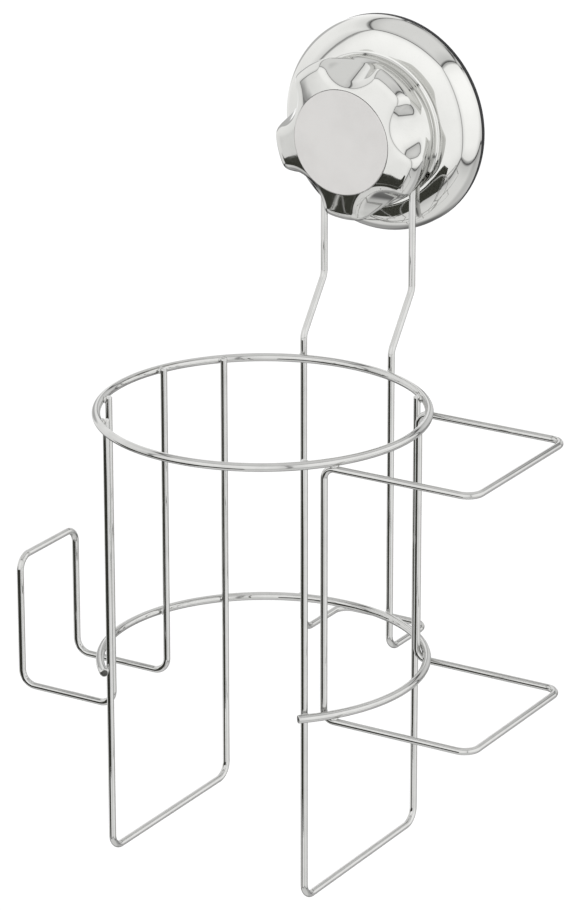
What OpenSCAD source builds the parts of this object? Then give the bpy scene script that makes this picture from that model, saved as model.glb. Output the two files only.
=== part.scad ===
// Hair dryer holder: a welded wire cage that hangs on the neck of a screw-lock suction mount.
// The origin lies on the wall, on the axis of the knob. +X is right, +Y into the wall, +Z up.

/* [Wire] */
// Diameter of the wire of both rings
ring_wire_d = 3; // [2.6:0.1:3.6]
// Diameter of the wire of the legs, hook, loops and hanger
wire_d = 2.5; // [2:0.1:3]
// Centreline radius of the wire bends
bend_r = 5.5; // [4:0.5:7]
// Depth to which two wires melt into each other at a weld
weld_sink = 0.1; // [0.05:0.05:0.2]
// Height of a cut upright end above the middle of the ring that it is welded to
end_rise = 1; // [0:0.1:1.5]

/* [Rings] */
// Centreline diameter of both rings
ring_d = 117; // [108:1:130]
// Distance from the wall to the middle of the rings
ring_reach = 87.5; // [80:0.5:96]
// Drop from the knob axis to the top ring
ring_drop = 84.4; // [82:0.2:100]
// Height between the two rings
ring_gap = 93.3; // [80:0.1:120]
// Length of the lower ring past each front upright
ring_overrun = 3; // [1.5:0.5:6]

/* [Legs] */
// Angle around the ring from the loop uprights on to the leg uprights
leg_step_angle = 9.95; // [8:0.05:12]
// Length of the legs below the lower ring
leg_drop = 69.9; // [30:0.1:100]

/* [Side loops] */
// Angle around the ring from the side on to the arms of the loops
loop_angle = 33.87; // [25:0.01:36]
// Distance from the ring axis to the outer run of the loops
loop_reach = 102.9; // [85:0.1:125]
// Centreline radius of the bends between the uprights and the arms
loop_bend_r = 4; // [3:0.5:5]

/* [Cord hook] */
// Distance between the front and the back wire of the hook
hook_w = 36; // [24:0.5:44]
// Distance from the ring axis to the tip of the hook
hook_reach = 92.6; // [80:0.1:110]
// Drop from the lower ring to the floor of the hook
hook_drop = 23.9; // [15:0.1:40]
// Height of the turned-up tip of the hook
hook_rise = 49.3; // [30:0.1:60]

/* [Hanger] */
// Distance between the two hanger wires
hanger_w = 36.7; // [33:0.1:44]
// Drop from the knob axis to the shoulders of the hanger
shoulder_drop = 17; // [15:0.5:22]
// Height above the top ring at which the hanger has come forward to the cage
kink_rise = 8.2; // [5:0.2:16]
// Drop from the lower ring to the wall rest of the hanger
rest_drop = 13.8; // [9:0.2:30]

/* [Suction base] */
// Diameter of the pad and of the rim of the dish
base_d = 79; // [74:0.5:90]
// Height of the front face of the dish above the wall
base_h = 13.2; // [12.6:0.2:18]
// Diameter of the front face of the dish
face_d = 54.8; // [50:0.2:58]
// Height of the upright rim of the dish above the wall
rim_h = 3.4; // [2.8:0.1:4]
// Radius of the round that leads from the rim into the dome
rim_round = 9; // [7.5:0.1:9.4]
// Wall thickness of the dish
dish_wall = 2.2; // [1.6:0.1:2.6]
// Radial width of the collar that closes the groove round the hanger
collar_w = 3; // [2:0.2:4]
// Angle that the hanger can swing to each side before it meets the ends of the collar
swing_angle = 8; // [2:1:12]
// Diameter of the neck that carries the hanger
neck_d = 20; // [17:0.5:22]
// Number of stiffening ribs inside the dish
rib_count = 8; // [4:1:12]
// Thickness of the stiffening ribs
rib_t = 1.6; // [1:0.1:2.5]

/* [Suction pad] */
// Thickness of the soft pad at its lip
pad_t = 2; // [1.6:0.1:3]
// Diameter of the raised hub of the pad
hub_d = 31; // [30:0.5:33]
// Height of the hub above the wall
hub_h = 6.2; // [5.6:0.1:6.6]

/* [Lock screw] */
// Diameter of the lock screw over its threads
stud_d = 10; // [8:0.5:10.5]
// Distance across the two flats that keep the screw from turning
stud_flats = 8; // [6:0.2:8]
// Length of the lock screw from the face of its plate
stud_l = 23.2; // [20:0.2:24]
// Diameter of the plate moulded into the pad
plate_d = 26; // [18:0.5:26.4]
// Thickness of the plate moulded into the pad
plate_t = 1.6; // [1:0.1:1.8]

/* [Knob] */
// Number of finger lobes
lobe_count = 5; // [4:1:7]
// Diameter of the round flange at the back of the knob
flange_d = 54.4; // [52:0.2:56]
// Diameter over the lobes
knob_d = 59.6; // [57:0.2:62]
// Height of the knob from its back to its lobes
knob_h = 17.9; // [16.8:0.1:20]
// Thickness of the flange that stays round below the scallops
flange_t = 2.4; // [1.6:0.1:4]
// Radius of the rounded front edge of the lobes
nose_r = 7; // [5:0.1:7.6]
// Radius of the flared scallops between the lobes, at the front
scallop_r = 14.5; // [12:0.5:18]
// Diameter of the ring that the scallops leave at the front
valley_d = 41.4; // [41:0.2:45]
// Diameter of the front cap
cap_d = 38.6; // [34:0.2:38.8]
// Thickness of the front cap
cap_t = 2.4; // [1.6:0.1:2.6]
// Height of the cap above the lobes
cap_rise = 0.3; // [0.2:0.1:1.5]
// Distance across the flats of the nut inside the knob
nut_w = 16; // [14:0.5:17]
// Thickness of the nut inside the knob
nut_t = 8; // [6:0.2:8.4]
// Thickness of the thrust washer
washer_t = 0.8; // [0.5:0.1:1.2]

/* [Clearances] */
// Radial clearance of turning and screwing fits
run_clear = 0.08; // [0.03:0.01:0.1]
// Clearance between pieces that pass or drop into each other
play = 0.3; // [0.2:0.05:0.4]
// Clearance of pressed and glued pieces in their seats
seat_clear = 0.1; // [0.05:0.01:0.15]

/* [Hidden] */

$fn = 96;
arc_steps = 8;
grid = 0.005;
pass = 1;
chrome = [0.84, 0.85, 0.86];
plated = [0.80, 0.80, 0.81];

// Places of the cage
ring_r = ring_d / 2;
ring_y = -ring_reach;
top_z = -ring_drop;
low_z = top_z - ring_gap;
touch = (ring_wire_d + wire_d) / 2 - weld_sink;
inside_r = ring_r - touch;
outside_r = ring_r + touch;
end_z = top_z + end_rise;
leg_angle = loop_angle + leg_step_angle;
leg_x = on_grid(inside_r * cos(leg_angle));
leg_y = on_grid(inside_r * sin(leg_angle));
leg_z = low_z - leg_drop;
loop_y = on_grid(ring_r * sin(loop_angle));
loop_x = on_grid(across(ring_r, loop_y)) - loop_bend_r;
hook_y = hook_w / 2;
hook_x = on_grid(across(inside_r, hook_y));
hook_floor_z = low_z - hook_drop;
hook_tip_z = hook_floor_z + hook_rise;

// Heights of the suction mount above the wall
base_r = base_d / 2;
neck_r = neck_d / 2;
groove_h = wire_d + 2 * play;
neck_top = base_h + groove_h;
knob_back = neck_top;
knob_seat = neck_top + washer_t + seat_clear;
knob_front = knob_back + knob_h;
cap_top = knob_front + cap_rise;
cap_bottom = cap_top - cap_t;
seat_floor = 2;
nut_bottom = knob_seat + seat_floor;
nut_top = nut_bottom + nut_t;
nut_wall = 1.6;
plug_depth = 3;
plug_r = nut_w / 2 / cos(30) + nut_wall;
plug_wall = 1.4;
plate_bottom = pad_t + seat_clear * 2;
plate_top = plate_bottom + plate_t;

// Places of the hanger, whose sloping stretches go three aside for four up
slope_side_ratio = 3 / 5;
slope_up_ratio = 4 / 5;
slope_bend_r = 3 * on_grid(bend_r / 3);
hanger_x = hanger_w / 2;
hanger_top_y = -(base_h + groove_h / 2);
eye_r = neck_r + run_clear + wire_d / 2;
shoulder_z = -shoulder_drop;
shoulder_l = on_grid((hanger_x - eye_r) / slope_side_ratio);
eye_x = hanger_x - shoulder_l * slope_side_ratio;
eye_z = shoulder_z + shoulder_l * slope_up_ratio;
kink_l = on_grid((hanger_top_y - ring_y - across(outside_r, hanger_x)) / slope_side_ratio);
hanger_low_y = hanger_top_y - kink_l * slope_side_ratio;
kink_low_z = top_z + kink_rise;
kink_high_z = kink_low_z + kink_l * slope_up_ratio;
rest_z = low_z - rest_drop;
rest_y = -wire_d / 2;

// Rounds a length to a grid so fine that bends and straights meet without a gap
function on_grid(v) = round(v / grid) * grid;
// Half chord of a circle of radius r at distance d from its centre
function across(r, d) = sqrt(r * r - d * d);
function unit(v) = v / norm(v);
function place(c) = [c[0], c[1], c[2]];
function before(c, i) = (i + len(c) - 1) % len(c);
function heading(c, i) = unit(place(c[(i + 1) % len(c)]) - place(c[i]));
function turn(c, i) = acos(heading(c, before(c, i)) * heading(c, i));
function set_back(c, i) = c[i][3] == 0 ? 0 : c[i][3] * tan(turn(c, i) / 2);
function mirrored(c) = [for (i = [len(c) - 1 : -1 : 0]) [-c[i][0], c[i][1], c[i][2], c[i][3]]];
function arc(centre, r, from, to) = [
    for (i = [0 : arc_steps])
        let (a = from + (to - from) * i / arc_steps) centre + r * [cos(a), sin(a)]
];

module straight(from, to, d) {
    run = to - from;
    length = norm(run);
    if (length > grid)
        translate(from)
            rotate([0, acos(run[2] / length), atan2(run[1], run[0])])
                cylinder(h = length, d = d);
}

module corner_bend(c, i, d) {
    into = heading(c, before(c, i));
    out = heading(c, i);
    inward = unit(out - into * (into * out));
    centre = place(c[i]) - into * set_back(c, i) + inward * c[i][3];
    normal = cross(-inward, into);
    multmatrix([
        [-inward[0], into[0], normal[0], centre[0]],
        [-inward[1], into[1], normal[1], centre[1]],
        [-inward[2], into[2], normal[2], centre[2]],
        [0, 0, 0, 1]
    ])
        rotate_extrude(angle = turn(c, i))
            translate([c[i][3], 0])
                circle(d = d);
}

// Wire through the corners c, each one [x, y, z, bend radius]; a closed wire returns to its start
module bent_wire(c, d, closed = false) {
    last = len(c) - (closed ? 1 : 2);
    for (i = [0 : last]) {
        next = (i + 1) % len(c);
        straight(
            place(c[i]) + heading(c, i) * set_back(c, i),
            place(c[next]) - heading(c, i) * set_back(c, next),
            d
        );
    }
    for (i = [0 : len(c) - 1])
        if (c[i][3] > 0)
            corner_bend(c, i, d);
}

module ring(z, from, sweep) {
    translate([0, ring_y, z])
        rotate([0, 0, from])
            rotate_extrude(angle = sweep)
                translate([ring_r, 0])
                    circle(d = ring_wire_d);
}

// Turns a shape that is built upwards so that its up points from the wall into the room
module from_wall() {
    rotate([90, 0, 0])
        children();
}

module disc(r, bottom, top) {
    translate([0, 0, bottom])
        cylinder(r = r, h = top - bottom);
}

// Round bar with two flats, as wide across them as given
module flatted(r, flats, bottom, top) {
    intersection() {
        disc(r, bottom, top);
        translate([-flats / 2, -2 * r, bottom])
            cube([flats, 4 * r, top - bottom]);
    }
}

module hexagon(width, bottom, top) {
    translate([0, 0, bottom])
        cylinder(d = width / cos(30), h = top - bottom, $fn = 6);
}

module suction_pad() {
    hub_draft = 1.5;
    lip_chamfer = 0.5;
    pocket_r = plate_d / 2 + seat_clear * 2;
    color([0.05, 0.05, 0.05])
        from_wall()
            difference() {
                rotate_extrude()
                    polygon([
                        [0, 0],
                        [base_r, 0],
                        [base_r, pad_t - lip_chamfer],
                        [base_r - lip_chamfer, pad_t],
                        [hub_d / 2, pad_t],
                        [hub_d / 2 - hub_draft, hub_h],
                        [0, hub_h]
                    ]);
                disc(pocket_r, pad_t, plate_top + seat_clear * 2);
                disc(stud_d / 2 + play, pad_t, hub_h + pass);
            }
}

module pull_stud() {
    tip_chamfer = 1;
    tip = plate_top + stud_l;
    color([0.72, 0.72, 0.70])
        from_wall() {
            disc(plate_d / 2, plate_bottom, plate_top);
            intersection() {
                flatted(stud_d / 2, stud_flats, plate_top, tip);
                rotate_extrude()
                    polygon([
                        [0, plate_top],
                        [stud_d / 2, plate_top],
                        [stud_d / 2, tip - tip_chamfer],
                        [stud_d / 2 - tip_chamfer, tip],
                        [0, tip]
                    ]);
            }
        }
}

module base_dish() {
    face_r = face_d / 2;
    dome_w = base_r - rim_round - face_r;
    least_rise = 0.1;
    dome_rise = max(least_rise, base_h - rim_h - rim_round);
    round_turn = 90 - 2 * atan(dome_rise / dome_w);
    dome_r = rim_round + dome_w / cos(round_turn);
    round_centre = [base_r - rim_round, rim_h];
    dome_centre = [face_r, base_h - dome_r];
    roof = base_h - dish_wall;
    rib_inset = 1;
    rib_sink = dish_wall * 0.6;
    rib_from = 15;
    rib_head = [hub_d / 2 + rib_inset, roof - rib_inset];
    rib_foot = round_centre + [0, rib_inset];
    guide_r = stud_d / 2 + play;
    collar_in = face_r - collar_w;
    hanger_edge = hanger_x + wire_d / 2 + play;
    collar_open = swing_angle + asin(min(1, hanger_edge / collar_in));
    collar_foot = base_h - dish_wall / 2;
    collar_flare = 1.8;
    collar_gap = 0.4;
    collar_top = knob_back - collar_gap;
    collar_edge_r = 0.5;
    color(plated)
        from_wall()
            difference() {
                union() {
                    difference() {
                        rotate_extrude()
                            polygon(concat(
                                [[0, pad_t], [base_r, pad_t]],
                                arc(round_centre, rim_round, 0, round_turn),
                                arc(dome_centre, dome_r, round_turn, 90),
                                [[neck_r, base_h], [neck_r, neck_top], [0, neck_top]]
                            ));
                        rotate_extrude()
                            polygon(concat(
                                [[0, pad_t - pass], [base_r - dish_wall, pad_t - pass]],
                                arc(round_centre, rim_round - dish_wall, 0, round_turn),
                                arc(dome_centre, dome_r - dish_wall, round_turn, 90),
                                [[0, roof]]
                            ));
                    }
                    rotate([0, 0, collar_open - 90])
                        rotate_extrude(angle = 360 - 2 * collar_open)
                            polygon(concat(
                                [
                                    [collar_in, collar_foot],
                                    [face_r + collar_flare, collar_foot - collar_flare / 2],
                                    [face_r, collar_foot + collar_flare]
                                ],
                                arc([face_r - collar_edge_r, collar_top - collar_edge_r], collar_edge_r, 0, 90),
                                [[collar_in, collar_top]]
                            ));
                    for (i = [0 : rib_count - 1])
                        rotate([0, 0, (i + 0.5) * 360 / rib_count])
                            translate([0, rib_t / 2, 0])
                                rotate([90, 0, 0])
                                    linear_extrude(rib_t)
                                        polygon(concat(
                                            [rib_head, rib_foot],
                                            arc(round_centre, rim_round - rib_sink, rib_from, round_turn),
                                            arc(dome_centre, dome_r - rib_sink, round_turn, 90),
                                            [[rib_head[0], base_h - rib_sink]]
                                        ));
                }
                flatted(guide_r, stud_flats + 2 * play, roof - pass, neck_top + pass);
            }
}

module thrust_washer() {
    inset = 0.4;
    color([0.93, 0.93, 0.90])
        from_wall()
            difference() {
                disc(neck_r - inset, neck_top, neck_top + washer_t);
                disc(stud_d / 2 + play, neck_top - pass, neck_top + washer_t + pass);
            }
}

module knob_body() {
    edge_r = 0.8;
    knob_r = knob_d / 2;
    flange_r = flange_d / 2;
    lobe_pitch = 360 / lobe_count;
    first_lobe = 267;
    valley_r = valley_d / 2;
    scallop_flare = (flange_r - valley_r) / (knob_h - flange_t);
    cutter_h = knob_h + pass;
    cutter_step = scallop_flare * cutter_h;
    hub_r = plug_r + plug_wall;
    skin_t = 2.4;
    core_r = valley_r - skin_t;
    core_h = 11;
    core_top = knob_back + core_h;
    pocket_r = 2.6;
    pocket_ring_r = flange_r - pocket_r - skin_t;
    web_t = 2;
    color(plated)
        from_wall()
            difference() {
                rotate_extrude()
                    polygon(concat(
                        [[0, knob_back]],
                        arc([flange_r - edge_r, knob_back + edge_r], edge_r, -90, 0),
                        [[flange_r, knob_back + flange_t]],
                        arc([knob_r - nose_r, knob_front - nose_r], nose_r, 0, 90),
                        [[0, knob_front]]
                    ));
                for (i = [0 : lobe_count - 1])
                    rotate([0, 0, first_lobe + (i + 0.5) * lobe_pitch])
                        translate([valley_r + scallop_r, 0, knob_front - cutter_h])
                            cylinder(
                                h = 2 * cutter_h,
                                r1 = scallop_r - cutter_step,
                                r2 = scallop_r + cutter_step
                            );
                disc(cap_d / 2 + seat_clear, cap_bottom, cap_top + pass);
                disc(plug_r + seat_clear, cap_bottom - plug_depth - seat_clear, cap_top);
                hexagon(nut_w + 2 * seat_clear, nut_bottom, cap_top);
                disc(stud_d / 2 + play, knob_back - pass, nut_top);
                disc(neck_r, knob_back - pass, knob_seat);
                difference() {
                    disc(core_r, knob_back - pass, core_top);
                    disc(hub_r, knob_back - 2 * pass, core_top + pass);
                    for (i = [0 : lobe_count - 1])
                        rotate([0, 0, first_lobe + (i + 0.5) * lobe_pitch])
                            translate([0, -web_t / 2, knob_back - 2 * pass])
                                cube([knob_r, web_t, knob_h]);
                }
                for (i = [0 : lobe_count - 1])
                    rotate([0, 0, first_lobe + i * lobe_pitch])
                        translate([pocket_ring_r, 0, 0])
                            disc(pocket_r, knob_back - pass, core_top);
            }
}

module knob_nut() {
    color([0.78, 0.62, 0.30])
        from_wall()
            difference() {
                hexagon(nut_w, nut_bottom, nut_top);
                disc(stud_d / 2 + run_clear, nut_bottom - pass, nut_top + pass);
            }
}

module knob_cap() {
    edge_r = 0.3;
    cap_r = cap_d / 2;
    color(plated)
        from_wall()
            difference() {
                union() {
                    rotate_extrude()
                        polygon(concat(
                            [[0, cap_bottom], [cap_r, cap_bottom]],
                            arc([cap_r - edge_r, cap_top - edge_r], edge_r, 0, 90),
                            [[0, cap_top]]
                        ));
                    disc(plug_r, cap_bottom - plug_depth, cap_bottom);
                }
                disc(plug_r - plug_wall, cap_bottom - plug_depth - pass, cap_bottom);
            }
}

module hanger_wire() {
    right_side = [
        [eye_x, hanger_top_y, eye_x, eye_x],
        [eye_x, hanger_top_y, eye_z, slope_bend_r],
        [hanger_x, hanger_top_y, shoulder_z, slope_bend_r],
        [hanger_x, hanger_top_y, kink_high_z, slope_bend_r],
        [hanger_x, hanger_low_y, kink_low_z, slope_bend_r],
        [hanger_x, hanger_low_y, rest_z, bend_r],
        [hanger_x, rest_y, rest_z, bend_r]
    ];
    color(chrome)
        bent_wire(concat(right_side, mirrored(right_side)), wire_d, closed = true);
}

module top_ring() {
    color(chrome)
        ring(top_z, 0, 360);
}

module lower_ring() {
    front_angle = leg_angle + ring_overrun / ring_r * 180 / PI;
    color(chrome)
        ring(low_z, -front_angle, 180 + 2 * front_angle);
}

// U-shaped leg, welded by both ends inside the top ring
module leg(x) {
    bent_wire([
        [x, ring_y - leg_y, end_z, 0],
        [x, ring_y - leg_y, leg_z, bend_r],
        [x, ring_y + leg_y, leg_z, bend_r],
        [x, ring_y + leg_y, end_z, 0]
    ], wire_d);
}

module left_leg() {
    color(chrome)
        leg(-leg_x);
}

module right_leg() {
    color(chrome)
        leg(leg_x);
}

module cord_hook() {
    front = ring_y - hook_y;
    back = ring_y + hook_y;
    color(chrome)
        bent_wire([
            [-hook_x, front, end_z, 0],
            [-hook_x, front, hook_floor_z, bend_r],
            [-hook_reach, front, hook_floor_z, bend_r],
            [-hook_reach, front, hook_tip_z, bend_r],
            [-hook_reach, back, hook_tip_z, bend_r],
            [-hook_reach, back, hook_floor_z, bend_r],
            [-hook_x, back, hook_floor_z, bend_r],
            [-hook_x, back, end_z, 0]
        ], wire_d);
}

module side_loops() {
    front = ring_y - loop_y;
    back = ring_y + loop_y;
    upper_z = top_z - touch;
    lower_z = low_z - touch;
    color(chrome)
        bent_wire([
            [loop_x, front, lower_z, loop_bend_r],
            [loop_x, front, upper_z, loop_bend_r],
            [loop_reach, front, upper_z, bend_r],
            [loop_reach, back, upper_z, bend_r],
            [loop_x, back, upper_z, loop_bend_r],
            [loop_x, back, lower_z, loop_bend_r],
            [loop_reach, back, lower_z, bend_r],
            [loop_reach, front, lower_z, bend_r]
        ], wire_d, closed = true);
}

suction_pad();
pull_stud();
base_dish();
thrust_washer();
knob_body();
knob_nut();
knob_cap();
hanger_wire();
top_ring();
lower_ring();
left_leg();
right_leg();
cord_hook();
side_loops();
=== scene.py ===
# Hair dryer holder: a chromed wire cage that hangs on the neck of a screw-lock suction mount.
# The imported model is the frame, in metres: +X is right, +Y goes into the wall and +Z is up.
import math

import bmesh
import bpy
import numpy as np
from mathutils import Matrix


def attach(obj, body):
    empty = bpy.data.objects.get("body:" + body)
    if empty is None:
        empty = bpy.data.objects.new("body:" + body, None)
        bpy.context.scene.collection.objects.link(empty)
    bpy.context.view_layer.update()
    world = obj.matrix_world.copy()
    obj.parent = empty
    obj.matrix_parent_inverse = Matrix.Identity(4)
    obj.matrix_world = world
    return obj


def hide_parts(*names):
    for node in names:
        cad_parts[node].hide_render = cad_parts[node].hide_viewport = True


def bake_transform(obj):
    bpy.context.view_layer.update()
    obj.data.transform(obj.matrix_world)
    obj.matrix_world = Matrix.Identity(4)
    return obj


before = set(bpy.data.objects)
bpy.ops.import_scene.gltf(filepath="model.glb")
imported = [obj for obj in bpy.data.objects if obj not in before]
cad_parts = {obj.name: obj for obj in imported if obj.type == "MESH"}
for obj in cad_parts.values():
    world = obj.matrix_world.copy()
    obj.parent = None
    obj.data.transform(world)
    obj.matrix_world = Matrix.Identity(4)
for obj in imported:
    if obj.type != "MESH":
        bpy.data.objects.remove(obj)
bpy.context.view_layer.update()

# Suction pad: one moulding of soft black PVC, with a hub at its middle that grips the lock screw.
# Its face has fine moulded rings and lies on the wall. Its lip is a black edge behind the dish.
# The lock screw draws its hub out, while its lip stays clamped under the rim of the dish.
MM = 0.001
PAD_R = 39.5
PAD_LIP = 2.0
PAD_EDGE_R = 0.45
PAD_RINGS = (10.0, 18.0, 26.0, 33.5)
PAD_RING_W = 0.5
PAD_RING_DEPTH = 0.14
HUB_FOOT_R = 15.5
HUB_TOP_R = 14.0
HUB_TOP = 6.2
HUB_EDGE_R = 0.6
HUB_LEAN = 15
STUD_HOLE_R = 5.3
PLATE_POCKET_R = 13.2
PLATE_POCKET_TOP = 4.0
PVC_TONES = ((0.010, 0.010, 0.011), (0.022, 0.022, 0.024))
PVC_TONE_SPAN = (0.35, 0.75)
PVC_ROUGHNESS = (0.42, 0.60)
PVC_SHINE = 0.25
PVC_BLOOM_SCALE = 60
PVC_BLOOM_DETAIL = 5
PVC_GRAIN_SCALE = 2200
PVC_GRAIN_STRENGTH = 0.12
PVC_GRAIN_DEPTH = 0.0001
SAME_POINT = 1e-7


def arc(centre, radius, start, end, steps):
    """Points of a circular arc that runs from one angle to another, in degrees."""
    turns = np.radians(np.linspace(start, end, steps + 1))
    return [(centre[0] + radius * math.cos(t), centre[1] + radius * math.sin(t)) for t in turns]


def skin(name, rings, looped, sharp=35.0):
    """Mesh over rings of points; rings that shrink to a point close as poles."""
    count = len(rings[0])
    last = len(rings) if looped else len(rings) - 1
    faces = []
    for i in range(last):
        low, high = i * count, (i + 1) % len(rings) * count
        for j in range(count):
            k = (j + 1) % count
            faces.append((low + j, low + k, high + k, high + j))
    mesh = bpy.data.meshes.new(name)
    mesh.from_pydata(np.concatenate(rings).tolist(), [], faces)
    shell = bmesh.new()
    shell.from_mesh(mesh)
    bmesh.ops.remove_doubles(shell, verts=shell.verts, dist=SAME_POINT)
    bmesh.ops.recalc_face_normals(shell, faces=shell.faces)
    shell.to_mesh(mesh)
    shell.free()
    mesh.shade_smooth()
    mesh.set_sharp_from_angle(angle=math.radians(sharp))
    made = bpy.data.objects.new(name, mesh)
    bpy.context.scene.collection.objects.link(made)
    return made


def held(outline, looped, hold=0.12):
    """The outline with two more points on each long straight, so that flats stay flat."""
    points = []
    ends = outline[1:] + (outline[:1] if looped else [])
    for (r0, h0), (r1, h1) in zip(outline, ends):
        length = math.hypot(r1 - r0, h1 - h0)
        points.append((r0, h0))
        if length > 5 * hold:
            for share in (hold / length, 1 - hold / length):
                points.append((r0 + (r1 - r0) * share, h0 + (h1 - h0) * share))
    if not looped:
        points.append(outline[-1])
    return points


def ring_at(radius, turns, height):
    """Points round the knob's axis, from a radius and a height above the wall in mm."""
    depths = np.full(len(turns), -height)
    return np.column_stack((radius * np.cos(turns), depths, radius * np.sin(turns))) * MM


def turned(name, outline, looped=False, around=256):
    """Outline of (radius, height above the wall) points in mm, turned about the knob's axis."""
    turns = np.linspace(0, 2 * math.pi, around, endpoint=False)
    rings = [ring_at(r, turns, h) for r, h in held(outline, looped)]
    return skin(name, rings, looped)


def finish(name):
    """A new material with its nodes, its links and its main shader."""
    made = bpy.data.materials.new(name)
    made.use_nodes = True
    tree = made.node_tree
    return made, tree.nodes, tree.links, tree.nodes["Principled BSDF"]


def noise(nodes, links, place, scale, detail=2):
    """A soft noise over the given coordinates."""
    made = nodes.new("ShaderNodeTexNoise")
    made.inputs["Scale"].default_value = scale
    made.inputs["Detail"].default_value = detail
    links.new(place, made.inputs["Vector"])
    return made.outputs["Fac"]


def toned(nodes, links, value, tones, span=(0, 1)):
    """A colour that goes from one tone to the other as the value goes over the span."""
    made = nodes.new("ShaderNodeValToRGB")
    for stop, position, tone in zip(made.color_ramp.elements, span, tones):
        stop.position = position
        stop.color = tone + (1,)
    links.new(value, made.inputs["Fac"])
    return made.outputs["Color"]


def dulled(nodes, links, value, roughness):
    """A roughness that goes from the first to the second as the value rises."""
    made = nodes.new("ShaderNodeMapRange")
    made.inputs["To Min"].default_value = roughness[0]
    made.inputs["To Max"].default_value = roughness[1]
    links.new(value, made.inputs["Value"])
    return made.outputs["Result"]


pad_outline = [(0.0, 0.0)]
for ring_r in PAD_RINGS:
    pad_outline += [
        (ring_r - PAD_RING_W, 0.0),
        (ring_r - PAD_RING_W / 2, PAD_RING_DEPTH),
        (ring_r + PAD_RING_W / 2, PAD_RING_DEPTH),
        (ring_r + PAD_RING_W, 0.0),
    ]
pad_outline += arc((PAD_R - PAD_EDGE_R, PAD_EDGE_R), PAD_EDGE_R, -90, 0, 6)
pad_outline += arc((PAD_R - PAD_EDGE_R, PAD_LIP - PAD_EDGE_R), PAD_EDGE_R, 0, 90, 6)
pad_outline += [(HUB_FOOT_R, PAD_LIP)]
pad_outline += arc((HUB_TOP_R - HUB_EDGE_R, HUB_TOP - HUB_EDGE_R), HUB_EDGE_R, HUB_LEAN, 90, 5)
pad_outline += [
    (STUD_HOLE_R, HUB_TOP),
    (STUD_HOLE_R, PLATE_POCKET_TOP),
    (PLATE_POCKET_R, PLATE_POCKET_TOP),
    (PLATE_POCKET_R, PAD_LIP),
    (0.0, PAD_LIP),
]
pad = turned("soft_suction_pad", pad_outline)

soft_pvc, nodes, links, shader = finish("soft_black_pvc")
place = nodes.new("ShaderNodeTexCoord").outputs["Object"]
bloom = noise(nodes, links, place, PVC_BLOOM_SCALE, PVC_BLOOM_DETAIL)
links.new(toned(nodes, links, bloom, PVC_TONES, PVC_TONE_SPAN), shader.inputs["Base Color"])
links.new(dulled(nodes, links, bloom, PVC_ROUGHNESS), shader.inputs["Roughness"])
shader.inputs["Specular IOR Level"].default_value = PVC_SHINE
pvc_grain = noise(nodes, links, place, PVC_GRAIN_SCALE)
pvc_bump = nodes.new("ShaderNodeBump")
pvc_bump.inputs["Strength"].default_value = PVC_GRAIN_STRENGTH
pvc_bump.inputs["Distance"].default_value = PVC_GRAIN_DEPTH
links.new(pvc_grain, pvc_bump.inputs["Height"])
links.new(pvc_bump.outputs["Normal"], shader.inputs["Normal"])
pad.data.materials.append(soft_pvc)
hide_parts("suction_pad")
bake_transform(pad)

# Lock screw: turned steel, with a round plate moulded into the pad and a coarse rolled thread.
# Two flats along its shank slide in the guide of the dish, so it moves in and out but can't turn.
SCREW_R = 5.0
SCREW_FLAT = 4.0
SCREW_TIP = 27.0
SCREW_POINT = 1.0
PLATE_R = 13.0
PLATE_BOTTOM = 2.2
PLATE_TOP = 3.8
PLATE_EDGE_R = 0.3
THREAD_PITCH = 3.0
THREAD_DEPTH = 0.75
THREAD_SLOPE = 3.2
THREAD_CREST = 0.3
THREAD_STEPS = 14
THREAD_ROUND = 72
STEEL_TONES = ((0.40, 0.40, 0.39), (0.62, 0.62, 0.60))
STEEL_ROUGHNESS = (0.22, 0.42)
LATHE_STRETCH = (1, 40, 1)
LATHE_SCALE = 220
LATHE_DETAIL = 3


def stretched(nodes, links, place, stretch):
    """Coordinates stretched along a piece, so that tool marks run round it."""
    made = nodes.new("ShaderNodeMapping")
    made.inputs["Scale"].default_value = stretch
    links.new(place, made.inputs["Vector"])
    return made.outputs["Vector"]


shank_turns = np.linspace(0, 2 * math.pi, THREAD_ROUND, endpoint=False)
shank_rings = []
shank_count = int((SCREW_TIP - PLATE_TOP) / THREAD_PITCH * THREAD_STEPS)
for height in np.linspace(PLATE_TOP, SCREW_TIP, shank_count):
    phase = (height / THREAD_PITCH - shank_turns / (2 * math.pi)) % 1
    cut = np.clip(THREAD_SLOPE * np.abs(phase - 0.5) - THREAD_CREST, 0, 1) * THREAD_DEPTH
    radius = np.minimum(SCREW_R - cut, SCREW_R - SCREW_POINT + SCREW_TIP - height)
    across = np.clip(radius * np.cos(shank_turns), -SCREW_FLAT, SCREW_FLAT)
    shank_rings.append(
        np.column_stack((across, np.full(THREAD_ROUND, -height), radius * np.sin(shank_turns))) * MM
    )
for height, pole_place in ((PLATE_TOP, 0), (SCREW_TIP, len(shank_rings) + 1)):
    shank_rings.insert(pole_place, np.tile((0, -height * MM, 0), (THREAD_ROUND, 1)))
screw = skin("lock_screw_shank", shank_rings, looped=False, sharp=50)
plate_outline = [(0.0, PLATE_BOTTOM)]
plate_outline += arc((PLATE_R - PLATE_EDGE_R, PLATE_BOTTOM + PLATE_EDGE_R), PLATE_EDGE_R, -90, 0, 4)
plate_outline += arc((PLATE_R - PLATE_EDGE_R, PLATE_TOP - PLATE_EDGE_R), PLATE_EDGE_R, 0, 90, 4)
plate_outline += [(0.0, PLATE_TOP)]
screw_plate = turned("lock_screw_plate", plate_outline, around=96)

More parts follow.
